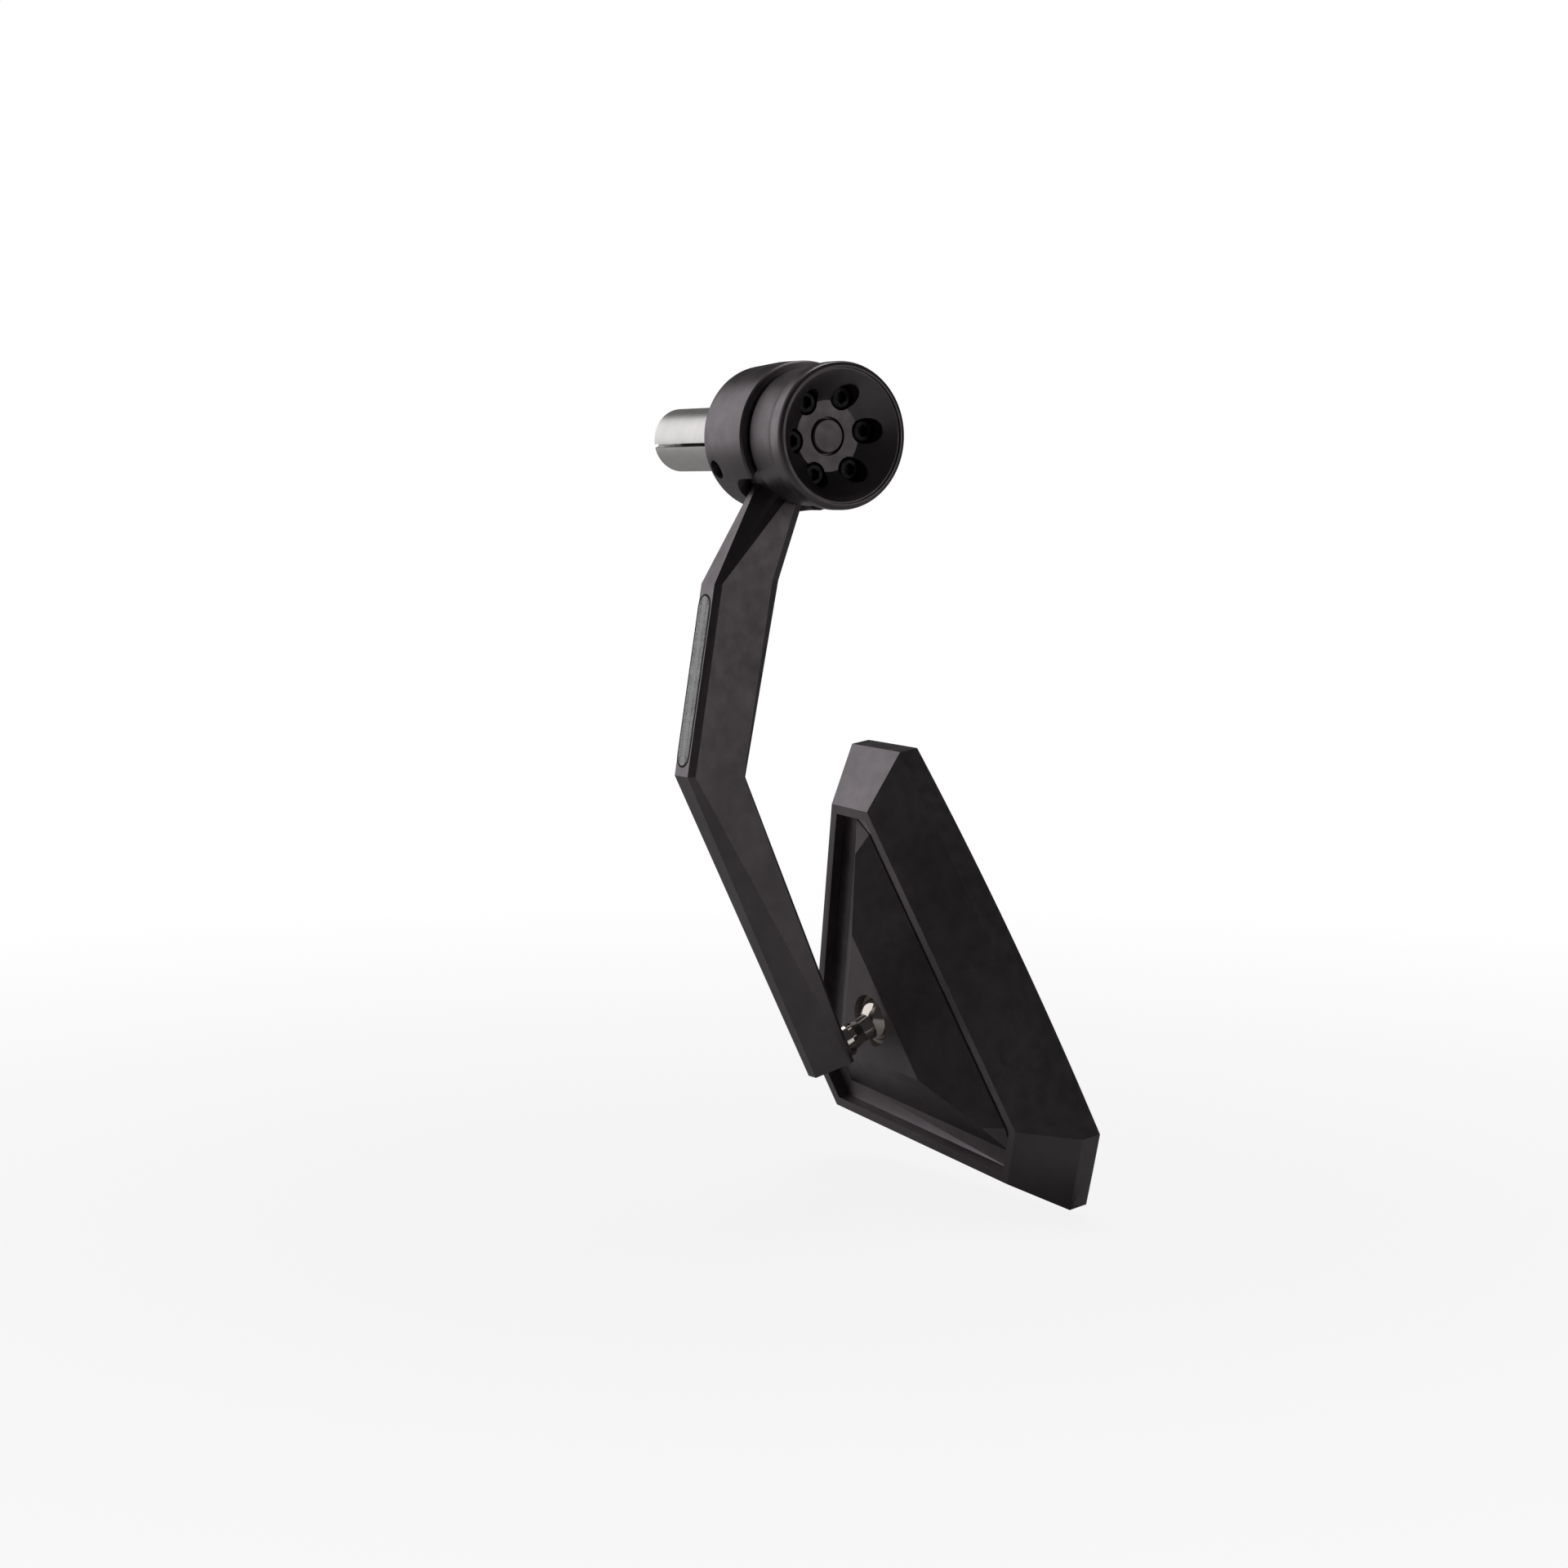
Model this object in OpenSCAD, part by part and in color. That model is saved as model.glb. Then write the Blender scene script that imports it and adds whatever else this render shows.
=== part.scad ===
// Bar end mirror for a motorcycle: handlebar plug, clamp collar, outer weight,
// bent support arm with a marker light, and a faceted mirror head on a ball joint.
// X is the handlebar's axis and points outward, Y points to the rider, Z is up.
// The origin is the centre of the collar's back face, which meets the end of the bar.

/* [Handlebar plug] */
// Diameter of the split sleeve that goes into the bar
sleeve_d = 16.4; // [14:0.1:18]
// Length of the sleeve inside the bar
sleeve_len = 45; // [38:0.5:60]
// Bore of the sleeve
sleeve_bore = 8; // [7:0.1:9]
// Width of the saw cuts in the sleeve
slot_w = 0.9; // [0.5:0.1:1.5]
// Diameter of the clamp screw's thread
bolt_d = 6; // [5:0.5:6.5]

/* [Clamp collar] */
// Length of the collar along the bar
collar_len = 20; // [19:0.1:24]
// Diameter of the collar's straight front part
collar_d = 37.4; // [36:0.1:42]
// Diameter of the collar's back face
collar_back_d = 36; // [34:0.1:40]
// Where the taper ends, from the back face
taper_len = 12; // [6:0.5:14]
// Distance of the locking screws from the back face
grub_x = 4; // [3.8:0.1:5]
// Diameter of the locking screws
grub_d = 4.9; // [3:0.1:5]

/* [Outer weight] */
// Diameter of the weight
weight_d = 36; // [34:0.1:40]
// Length of the weight
weight_len = 16.3; // [15:0.1:20]
// Width of the dark groove between collar and weight
groove_w = 1.2; // [0.8:0.1:2.5]
// Diameter of the spacer in that groove
spacer_d = 31; // [28:0.1:33]
// Diameter of the cup's mouth
cup_mouth_d = 33; // [30:0.1:33.5]
// Diameter of the cup's floor
cup_floor_d = 17.5; // [15:0.1:20]
// Depth of the cup
cup_depth = 7.3; // [5:0.1:8]
// Diameter of the screw circle
screw_circle_d = 20.4; // [19:0.1:22]
// Diameter of the screws' thread
screw_d = 3; // [2.5:0.1:3.2]
// Diameter of the screws' heads
screw_head_d = 5.4; // [4.5:0.1:5.6]
// Number of screws
screw_count = 6; // [3:1:6]
// Angle of the first screw above the rearward direction
screw_start = 7.5; // [-30:0.5:30]
// Diameter of the round plug in the cup's floor
plug_d = 8.4; // [6:0.1:10]

/* [Support arm] */
// Thickness of the arm along the bar
arm_t = 8; // [7:0.1:9]
// Drop from the bar's axis to the upper bend
bend_drop = 36; // [32:0.5:42]
// Drop from the bar's axis to the knee
knee_drop = 83; // [81:0.5:95]
// Drop from the bar's axis to the arm's foot
foot_drop = 161.5; // [156:0.5:166]
// Width of the arm at the upper bend
bend_w = 18.2; // [16:0.1:20]
// Width of the arm at the knee
knee_w = 16; // [14:0.1:18]
// Width of the arm at its foot
foot_w = 10.1; // [9.6:0.1:12]
// Chamfer along the outer front edge of the middle stretch
arm_chamfer = 0.7; // [0.5:0.1:1.4]
// Chamfer of that edge at the arm's foot
foot_chamfer = 3.6; // [2:0.1:3.8]
// Chamfer of that edge where the arm enters the collar
top_chamfer = 5.6; // [2:0.1:5.8]
// Width of the middle stretch's chamfer on the broad face, as a multiple of its width on the front
chamfer_slope = 2.7; // [0.6:0.1:3]

/* [Marker light] */
// Length of the lens
lens_len = 42; // [36:0.5:43]
// Width of the lens
lens_w = 5.2; // [4:0.1:5.4]
// Depth of the lens pocket in the arm
lens_pocket = 6; // [5:0.1:8]
// Width of the gasket line around the lens
gasket_w = 0.5; // [0.3:0.05:0.6]

/* [Ball joint] */
// Diameter of the ball
ball_d = 12; // [11.6:0.1:12.4]
// Distance from the arm's rear face to the ball's centre
ball_reach = 14.2; // [13.8:0.1:16]
// Diameter of the stud's flange
flange_d = 8.8; // [8:0.1:9.4]
// Thickness of the flange
flange_t = 2.2; // [1.4:0.1:2.8]
// Diameter of the stud's neck at its waist
neck_d = 6; // [5:0.1:6.4]
// Wall of the ball's liner
liner_wall = 0.8; // [0.6:0.05:1]

/* [Mirror head] */
// Length of the head's long edge between its two corners
long_edge = 109; // [104:0.5:114]
// Greatest width of the head
head_w = 133; // [129:0.5:138]
// Height of the head from the long edge to its tip
head_h = 87; // [85:0.5:92]
// Thickness of the upright rim
rim_t = 5.4; // [4.5:0.1:7]
// Rise of the bevelled shell from the rim to the back frame
bevel_rise = 9.1; // [8:0.1:11]
// Width of the ledge around the back pocket
ledge_w = 2.4; // [1.6:0.1:3.2]
// Depth of the back pocket
pocket_depth = 3.2; // [2.5:0.1:5]
// Height of the raised panel's ridge above the glass side
ridge_rise = 25; // [24:0.1:26]
// Radius of the glass
glass_r = 1000; // [800:10:1400]
// Thickness of the glass
glass_t = 2; // [1.6:0.1:2.4]
// Thickness of the adhesive pad under the glass
pad_t = 0.8; // [0.5:0.1:1]

/* [Head setting] */
// Turn of the head about the vertical axis
head_yaw = 2.2; // [1:0.1:3.5]
// Backward tilt of the glass
head_pitch = 8.8; // [7.5:0.1:10]
// Turn of the head in its own plane
head_roll = 58; // [56:0.5:60]

/* [Hidden] */

$fn = 96;
// Overshoot of a cutting tool past the face that it opens
over = 1;
// Sliding fit on the radius
fit = 0.05;
// Small gap between pieces of one body
gap = 0.1;
// Gap between pieces that move past each other
run_gap = 0.3;

/* Places along the bar's axis */
hub_gap = 0.4;
hub_x = collar_len - hub_gap - arm_t;
spacer_x = hub_x + arm_t;
weight_x = collar_len + groove_w;
face_x = weight_x + weight_len;
cup_floor_x = face_x - cup_depth;
sleeve_front = hub_x - 2;
screw_head_h = 3;
screw_head_sink = 2.9;
screw_recess_d = 3.2;
flare_from = 7.3;
flare_to = 4;
lip_step = 0.5;
plug_groove_w = 0.5;
plug_groove_depth = 1.2;
plug_stand = 0.4;
screw_seat_x = cup_floor_x - screw_head_sink;
screw_tip_x = hub_x - 5;
hub_r = spacer_d / 2;

/* Sleeve and clamp screw */
cone_nose = 10.4;
cone_depth = 9;
cone_out = 2.6;
bolt_head_d = 10;
bolt_head_h = 6;
washer_t = 1;
bolt_seat_x = sleeve_front - bolt_head_h - washer_t - 0.4;
groove_depth = 1.2;
journal_r = sleeve_d / 2 - 0.4;
groove_x = grub_x - grub_d / 2 + groove_depth - run_gap;

/* Arm outline in the YZ plane: front edge, then width to the rear edge */
arm_mid_x = hub_x + arm_t / 2;
top_front = [-9.9, -10.5];
bend_front = [-25.4, -bend_drop];
knee_front = [-33.1, -knee_drop];
foot_front = [5.5, -foot_drop];
top_w = 11.8;
inner_chamfer = 0.8;
rear_chamfer = 2.2;
light_depth = 2.6;

top_rear = top_front + [top_w, 0.4];
bend_rear = bend_front + [bend_w, 0.7];
knee_rear = knee_front + [knee_w, -0.6];
// The foot's end face is square to the rear edge, which starts at the knee
foot_run = foot_front - knee_rear;
foot_angle = atan2(foot_run[0], -foot_run[1]) + asin(foot_w / norm(foot_run));

/* Ball joint */
stud_dir = [0, cos(foot_angle), sin(foot_angle)];
foot_along = [0, sin(foot_angle), -cos(foot_angle)];
foot_rear = [arm_mid_x, foot_front[0], foot_front[1]] + foot_w * stud_dir;
stud_up = 4.6;
stud_foot = foot_rear - stud_up * foot_along;
ball_at = stud_foot + ball_reach * stud_dir;
ball_r = ball_d / 2;
liner_in = ball_r + fit;
liner_out = liner_in + liner_wall;
seat_in = liner_out + fit;
stud_thread_d = 4;
stud_thread_len = 4.4;

/* Head outlines, w along the long edge and h from it to the tip */
frame_z = rim_t + bevel_rise;
corner_h = 17.8;
tip_w = 23.6;
rim_outline = six_sided(long_edge / 2, 0, head_w / 2, corner_h, tip_w / 2, head_h);
frame_outline = six_sided(long_edge / 2 - 9.4, 11.6, head_w / 2 - 12.3, corner_h + 6.7, tip_w / 2 - 3.8, head_h - 4.2);
mouth_outline = inset(frame_outline, ledge_w);
pocket_floor = frame_z - pocket_depth;
panel_foot = pocket_floor + 0.3;
panel_rise = frame_z + 7;
panel_h = 31;
crest_h = 54.9;
moat_w = 4.8;
short_moat_w = 1.2;
bevel_w = 15;
shoulder = 0.36;
socket_h = 40;
socket_rise = frame_z + 2.7;
pad_border = 3;
glass_border = 1.6;
glass_outline = inset(rim_outline, glass_border + 0.2);
recess_outline = inset(rim_outline, glass_border);
dome_h = 40;
dome_rise = 2.3;
glass_drop = 0.3;

/* Ball seat inside the head */
seat_r = 8.4;
seat_top = 1.2;
seat_bottom = -8.4;
throat_at = 2.6;
throat_r = 6.4;
cone_rim_at = 5.6;
cone_rim_r = 7.2;
plate_r = 13;
plate_t = 2.4;
plate_screw_circle = 10.6;
plate_screw_d = 2;
spring_t = 0.8;

function six_sided(w0, h0, w1, h1, w2, h2) =
    [[-w0, h0], [w0, h0], [w1, h1], [w2, h2], [-w2, h2], [-w1, h1]];

// Unit normal that points out of an anticlockwise outline's edge from a to b
function edge_normal(a, b) = [b[1] - a[1], a[0] - b[0]] / norm(b - a);

// Where two lines meet, each given by its unit normal and its distance
function meet(n1, d1, n2, d2) =
    let (k = n1[0] * n2[1] - n1[1] * n2[0])
    [(d1 * n2[1] - d2 * n1[1]) / k, (n1[0] * d2 - n2[0] * d1) / k];

// A convex outline moved inward by t
function inset(pts, t) =
    [for (i = [0 : len(pts) - 1])
        let (
            before = pts[(i + len(pts) - 1) % len(pts)],
            here = pts[i],
            after = pts[(i + 1) % len(pts)],
            n1 = edge_normal(before, here),
            n2 = edge_normal(here, after)
        )
        meet(n1, n1 * here - t, n2, n2 * here - t)];

// Turns a piece drawn along +Z so that it lies along +X from x
module along_bar(x = 0) {
    translate([x, 0, 0]) rotate([0, 90, 0]) children();
}

// Solid through a row of sections with the same number of points
module loft(sections) {
    n = len(sections[0]);
    rings = len(sections);
    points = [for (s = sections) for (p = s) p];
    sides = [for (k = [0 : rings - 2]) for (i = [0 : n - 1])
        [k * n + i, (k + 1) * n + i, (k + 1) * n + (i + 1) % n, k * n + (i + 1) % n]];
    first = [[for (i = [0 : n - 1]) i]];
    last = [[for (i = [n - 1 : -1 : 0]) (rings - 1) * n + i]];
    polyhedron(points, concat(sides, first, last), convexity = 4);
}

function raise(pts, z) = [for (p = pts) [p[0], p[1], z]];

// Round bar with chamfered ends, drawn from z = 0 up
module chamfered_rod(r, h, c) {
    rotate_extrude()
        polygon([[0, 0], [r - c, 0], [r, c], [r, h - c], [r - c, h], [0, h]]);
}

// Places copies on a circle around the bar's axis, the first at an angle above +Y
module around_bar(count, start, r, x) {
    for (i = [0 : count - 1]) {
        a = start + i * 360 / count;
        translate([x, r * cos(a), r * sin(a)]) children();
    }
}

// HANDLEBAR PLUG

module expander_sleeve() {
    color("silver") difference() {
        along_bar(-sleeve_len)
            rotate_extrude() polygon([
                [sleeve_bore / 2, 0],
                [sleeve_d / 2 - 1.6, 0],
                [sleeve_d / 2, 1.6],
                [sleeve_d / 2, sleeve_len],
                [journal_r, sleeve_len],
                [journal_r, sleeve_len + groove_x - groove_depth],
                [journal_r - groove_depth, sleeve_len + groove_x],
                [journal_r - groove_depth, sleeve_len + 2 * grub_x - groove_x],
                [journal_r, sleeve_len + 2 * grub_x - groove_x + groove_depth],
                [journal_r, sleeve_len + sleeve_front],
                [sleeve_bore / 2, sleeve_len + sleeve_front]
            ]);
        // Seat of the cone at the inner end
        along_bar(-sleeve_len - over)
            cylinder(h = cone_depth + over, d1 = cone_nose + 2.2, d2 = sleeve_bore);
        // Pocket for the screw's head
        along_bar(bolt_seat_x) cylinder(h = sleeve_front, d = bolt_head_d + 0.6);
        // Three saw cuts from the inner end
        for (a = [191, 311, 71])
            rotate([a, 0, 0])
                translate([-sleeve_len - over, 0, -slot_w / 2])
                    cube([sleeve_len - 1 + over, sleeve_d, slot_w]);
    }
}

module expander_cone() {
    color("silver") difference() {
        along_bar(-sleeve_len - cone_out)
            rotate_extrude() polygon([
                [bolt_d / 2 + fit, 0],
                [cone_nose / 2 - 0.6, 0],
                [cone_nose / 2, 0.6],
                [cone_nose / 2, cone_out],
                [sleeve_bore / 2 - gap, cone_out + cone_depth - 1],
                [bolt_d / 2 + fit, cone_out + cone_depth - 1]
            ]);
    }
}

module clamp_bolt() {
    color("dimgray") difference() {
        union() {
            along_bar(-sleeve_len - cone_out + 0.6)
                cylinder(h = sleeve_len + cone_out - 0.6 + bolt_seat_x + washer_t + over, d = bolt_d);
            along_bar(bolt_seat_x + washer_t) chamfered_rod(bolt_head_d / 2, bolt_head_h, 0.5);
        }
        along_bar(bolt_seat_x + washer_t + bolt_head_h / 2) cylinder(h = bolt_head_h, d = 5.7, $fn = 6);
    }
}

module bolt_washer() {
    color("silver") along_bar(bolt_seat_x)
        difference() {
            cylinder(h = washer_t, d = bolt_head_d);
            translate([0, 0, -over]) cylinder(h = washer_t + 2 * over, d = bolt_d + 0.4);
        }
}

// COLLAR AND WEIGHT

grub_start = 206.6;

module clamp_collar() {
    color("dimgray") difference() {
        along_bar() rotate_extrude() polygon([
            [journal_r + fit, run_gap],
            [sleeve_d / 2 + run_gap, run_gap],
            [sleeve_d / 2 + run_gap, 0],
            [collar_back_d / 2 - 0.8, 0],
            [collar_back_d / 2, 0.8],
            [collar_d / 2, taper_len],
            [collar_d / 2, collar_len - 0.5],
            [collar_d / 2 - 0.5, collar_len],
            [hub_r + gap, collar_len],
            [hub_r + gap, hub_x],
            [journal_r + fit, hub_x]
        ]);
        for (i = [0 : 2])
            rotate([grub_start + i * 120, 0, 0])
                translate([grub_x, 0, 0]) rotate([-90, 0, 0]) cylinder(h = collar_d, d = grub_d + 2 * fit);
        around_bar(screw_count, screw_start, screw_circle_d / 2, screw_tip_x - over)
            rotate([0, 90, 0]) cylinder(h = hub_x, d = screw_d + 2 * fit, $fn = 32);
        arm_notch();
    }
}

// Opening in the collar's front edge for the arm, with a round corner at both ends
notch_front_a = 232.5;
notch_rear_a = 265.5;
notch_r = arm_t / 2 + 2;
module arm_notch() {
    for (a = [notch_front_a, notch_rear_a])
        rotate([a, 0, 0]) translate([arm_mid_x, a == notch_front_a ? hub_r - 2 * over : hub_r - 0.6, 0]) {
            rotate([-90, 0, 0]) cylinder(h = collar_d, r = notch_r, $fn = 48);
            translate([0, 0, -notch_r]) cube([collar_len, collar_d, 2 * notch_r]);
        }
    along_bar() rotate(notch_front_a + 90) rotate_extrude(angle = notch_rear_a - notch_front_a)
        translate([hub_r - 0.3, arm_mid_x - notch_r - 0.06]) square([collar_d, collar_len]);
}

module grub_screws() {
    tip = journal_r - groove_depth + run_gap;
    color([0.12, 0.12, 0.12]) for (i = [0 : 2])
        rotate([grub_start + i * 120, 0, 0])
            translate([grub_x, tip, 0]) rotate([-90, 0, 0]) difference() {
                rotate_extrude() polygon([[0, 0], [grub_d / 2 - groove_depth, 0], [grub_d / 2, groove_depth],
                    [grub_d / 2, 7.2], [0, 7.2]]);
                translate([0, 0, 5]) cylinder(h = 4, d = 2.3, $fn = 6);
            }
}

module spacer_ring() {
    color([0.05, 0.05, 0.05]) difference() {
        along_bar(spacer_x) cylinder(h = weight_x - spacer_x, d = spacer_d);
        along_bar(spacer_x - over) cylinder(h = weight_x, d = plug_d + 0.8);
        around_bar(screw_count, screw_start, screw_circle_d / 2, spacer_x - over)
            rotate([0, 90, 0]) cylinder(h = weight_x, d = screw_d + 2 * gap, $fn = 32);
    }
}

module outer_weight() {
    waist_r = weight_d / 2 - 1;
    color("dimgray") difference() {
        along_bar() rotate_extrude() polygon([
            [plug_d / 2 + fit, weight_x],
            [waist_r - 0.5, weight_x],
            [waist_r, weight_x + 0.5],
            [waist_r, face_x - flare_from],
            [weight_d / 2, face_x - flare_to],
            [weight_d / 2, face_x - 1],
            [weight_d / 2 - 0.3, face_x - 0.3],
            [weight_d / 2 - 1, face_x],
            [cup_mouth_d / 2, face_x],
            [cup_mouth_d / 2, face_x - lip_step],
            [cup_mouth_d / 2 - lip_step, face_x - lip_step],
            [cup_floor_d / 2, cup_floor_x],
            [plug_d / 2 + plug_groove_w, cup_floor_x],
            [plug_d / 2 + plug_groove_w, cup_floor_x - plug_groove_depth],
            [plug_d / 2 + fit, cup_floor_x - plug_groove_depth]
        ]);
        around_bar(screw_count, screw_start, screw_circle_d / 2, weight_x - over)
            rotate([0, 90, 0]) cylinder(h = weight_len, d = screw_d + 2 * gap, $fn = 32);
        around_bar(screw_count, screw_start, screw_circle_d / 2, screw_seat_x)
            rotate([0, 90, 0]) cylinder(h = weight_len, d = screw_head_d + 0.8, $fn = 48);
    }
}

module cap_screws() {
    color([0.15, 0.15, 0.15])
        around_bar(screw_count, screw_start, screw_circle_d / 2, 0)
            difference() {
                union() {
                    along_bar(screw_tip_x) cylinder(h = screw_seat_x - screw_tip_x + 0.2, d = screw_d, $fn = 32);
                    along_bar(screw_seat_x) chamfered_rod(screw_head_d / 2, screw_head_h, 0.35, $fn = 48);
                }
                along_bar(screw_seat_x + 1.2) cylinder(h = screw_head_h, d = screw_recess_d, $fn = 6);
            }
}

module centre_plug() {
    color([0.12, 0.12, 0.12]) along_bar(weight_x) chamfered_rod(plug_d / 2, cup_floor_x - weight_x + plug_stand, 0.3);
}

// SUPPORT ARM AND LIGHT

// Section of the arm: f is the front point and r the rear point in the YZ plane,
// cf and cr are the chamfers of the outer front and outer rear edges and bf is the
// front one's width on the broad face
function arm_section(f, r, cf, bf, cr) =
    let (
        u = (r - f) / norm(r - f),
        x0 = hub_x,
        x1 = hub_x + arm_t,
        c = inner_chamfer,
        at = function (x, t) [x, f[0] + u[0] * t, f[1] + u[1] * t],
        w = norm(r - f)
    )
    [at(x0, c), at(x0 + c, 0), at(x1 - cf, 0), at(x1, bf),
        at(x1, w - cr), at(x1 - cr / chamfer_slope, w), at(x0 + c, w), at(x0, w - c)];

foot_rear_2d = [foot_rear[1], foot_rear[2]];
facet_end = 0.4;

// Direction of the light's face, from its upper to its lower end, and its outward normal
light_along = (knee_front - bend_front) / norm(knee_front - bend_front);
light_mid = (knee_front + bend_front) / 2 + 0.2 * light_along;
light_x = hub_x + (arm_t - arm_chamfer) / 2 + 0.1;
light_turn = atan2(-light_along[0], -light_along[1]);

// Places a piece drawn with its length along Z and its outer face towards -Y on the light's seat
module on_light_face(depth = 0) {
    translate([light_x, light_mid[0], light_mid[1]])
        rotate([-light_turn, 0, 0]) translate([0, depth, 0]) children();
}

// Slab with round ends, from y = 0 inward to y = t
module stadium(len, w, t) {
    r = w / 2;
    rotate([-90, 0, 0]) {
        for (s = [-1, 1])
            translate([0, s * (len / 2 - r), 0]) cylinder(h = t, r = r, $fn = 48);
        translate([-r, -(len / 2 - r), 0]) cube([w, len - w, t]);
    }
}

module support_arm() {
    color("dimgray") difference() {
        union() {
            loft([
                arm_section(foot_front, foot_rear_2d, foot_chamfer, foot_w - inner_chamfer - facet_end, inner_chamfer),
                arm_section(knee_front, knee_rear, arm_chamfer, arm_chamfer * chamfer_slope, inner_chamfer / 2),
                arm_section(bend_front, bend_rear, arm_chamfer, arm_chamfer * chamfer_slope, rear_chamfer),
                arm_section(top_front, top_rear, top_chamfer, top_w - rear_chamfer - facet_end, rear_chamfer)
            ]);
            along_bar(hub_x) cylinder(h = arm_t, r = hub_r);
        }
        along_bar(hub_x - over) cylinder(h = arm_t + 2 * over, d = plug_d + 1.6);
        around_bar(screw_count, screw_start, screw_circle_d / 2, hub_x - over)
            rotate([0, 90, 0]) cylinder(h = arm_t + 2 * over, d = screw_d + 2 * gap, $fn = 32);
        on_light_face(-over) stadium(lens_len + 2 * gasket_w, lens_w + 2 * gasket_w, lens_pocket + over);
        translate(stud_foot) rotate([-90 + foot_angle, 0, 0]) translate([0, 0, -stud_thread_len - 0.5])
            cylinder(h = stud_thread_len + over, d = stud_thread_d + 2 * fit);
    }
}

module lens_gasket() {
    color("black") on_light_face() difference() {
        stadium(lens_len + 2 * gasket_w - 0.02, lens_w + 2 * gasket_w - 0.02, light_depth);
        translate([0, -over, 0]) stadium(lens_len, lens_w, light_depth + 2 * over);
    }
}

module light_lens() {
    color("lightgray") on_light_face(-0.2) stadium(lens_len - 0.04, lens_w - 0.04, light_depth + 0.2);
}

module light_board() {
    led_pitch = 5;
    color("darkgreen") on_light_face(lens_pocket - 1)
        stadium(lens_len, lens_w, 1);
    color("gold") for (i = [-3 : 3])
        on_light_face(lens_pocket - 1.8) translate([0, 0, i * led_pitch])
            translate([-1, 0, -1.4]) cube([2, 0.9, 2.8]);
}

// BALL JOINT

// Places a piece drawn along +Z on the stud's axis, with the ball's centre at the origin
module on_stud() {
    translate(ball_at) rotate([-90 + foot_angle, 0, 0]) children();
}

module ball_stud() {
    neck_r = neck_d / 2;
    joint_r = neck_r + 0.4;
    neck_end = -sqrt(ball_r * ball_r - joint_r * joint_r);
    flange_z = -ball_reach + flange_t;
    color("silver") on_stud() {
        sphere(d = ball_d);
        rotate_extrude() polygon([
            [0, -ball_reach - stud_thread_len],
            [stud_thread_d / 2, -ball_reach - stud_thread_len],
            [stud_thread_d / 2, -ball_reach],
            [flange_d / 2, -ball_reach],
            [flange_d / 2, flange_z - 0.3],
            [flange_d / 2 - 0.3, flange_z],
            [flange_d / 2 - 0.8, flange_z],
            [neck_r + 0.5, flange_z + 1.4],
            [neck_r, (flange_z + neck_end) / 2 + 0.4],
            [joint_r, neck_end],
            [0, neck_end + 1]
        ]);
    }
}

// Places a piece drawn with the glass side up, the long edge's middle at the origin
module on_head() {
    translate(ball_at)
        rotate([0, 0, head_yaw]) rotate([head_pitch, 0, 0]) rotate([0, head_roll, 0]) rotate([-90, 0, 0])
            translate([0, -socket_h, socket_rise]) children();
}

// Places a piece on the socket's axis, +Z towards the glass, the ball's centre at the origin
module in_socket() {
    on_head() translate([0, socket_h, -socket_rise]) children();
}

module ball_liner() {
    open_z = -2.2;
    color("ivory") in_socket() difference() {
        sphere(r = liner_out);
        sphere(r = liner_in);
        translate([-ball_d, -ball_d, open_z - ball_d]) cube([2 * ball_d, 2 * ball_d, ball_d]);
    }
}

module seat_cup() {
    color("tan") in_socket() difference() {
        translate([0, 0, -seat_top]) cylinder(h = seat_top - seat_bottom, r = seat_r);
        sphere(r = seat_in);
        translate([0, 0, -seat_top - over]) cylinder(h = seat_top + over, r = seat_in);
    }
}

module spring_washer() {
    color("silver") in_socket() translate([0, 0, -seat_bottom]) difference() {
        cylinder(h = spring_t, r = seat_r - 0.6);
        translate([0, 0, -over]) cylinder(h = spring_t + 2 * over, r = seat_r - 3);
    }
}

plate_z = -seat_bottom + spring_t;
module retaining_plate() {
    color("silver") in_socket() difference() {
        translate([0, 0, plate_z]) cylinder(h = plate_t, r = plate_r);
        for (a = [90, 210, 330])
            rotate(a) translate([plate_screw_circle, 0, 0]) {
                cylinder(h = 30, d = plate_screw_d + 2 * gap, $fn = 32);
                translate([0, 0, plate_z + plate_t - 1.1]) cylinder(h = 3, d = plate_screw_d * 2, $fn = 32);
            }
    }
}

module plate_screws() {
    color([0.15, 0.15, 0.15]) in_socket() for (a = [90, 210, 330])
        rotate(a) translate([plate_screw_circle, 0, 0]) difference() {
            union() {
                translate([0, 0, plate_z - 3.6]) cylinder(h = 3.6 + plate_t - 1, d = plate_screw_d, $fn = 32);
                translate([0, 0, plate_z + plate_t - 1.1]) cylinder(h = 1.1, d = plate_screw_d * 2 - 0.2, $fn = 32);
            }
            translate([0, 0, plate_z + plate_t - 0.7]) cylinder(h = 1, d = 1.3, $fn = 6);
        }
}

// MIRROR HEAD

// Round block whose top has the radius of the glass, t below the rim's own dome
module dome(t) {
    bands = 12;
    reach = 78;
    r = glass_r - t;
    cap = [for (i = [bands : -1 : 0])
        let (x = reach * i / bands)
        [x, sqrt(r * r - x * x) - glass_r]];
    translate([0, dome_h, dome_rise]) rotate_extrude()
        polygon(concat([[0, -2 * frame_z], [reach, -2 * frame_z]], cap));
}

// Corners on the right half of the raised panel: s is 0 at its foot and 1 on its top
side_out = edge_normal(mouth_outline[2], mouth_outline[3]);
short_out = edge_normal(mouth_outline[1], mouth_outline[2]);
panel_foot_h = mouth_outline[0][1] + moat_w + 0.5;
function on_bevel(s, h) =
    let (p = meet(side_out, side_out * mouth_outline[2] - moat_w - s * bevel_w, [0, 1], h))
    [p[0], p[1], -panel_foot - s * (panel_rise - panel_foot)];
function mirrored(p) = [-p[0], p[1], p[2]];

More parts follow.
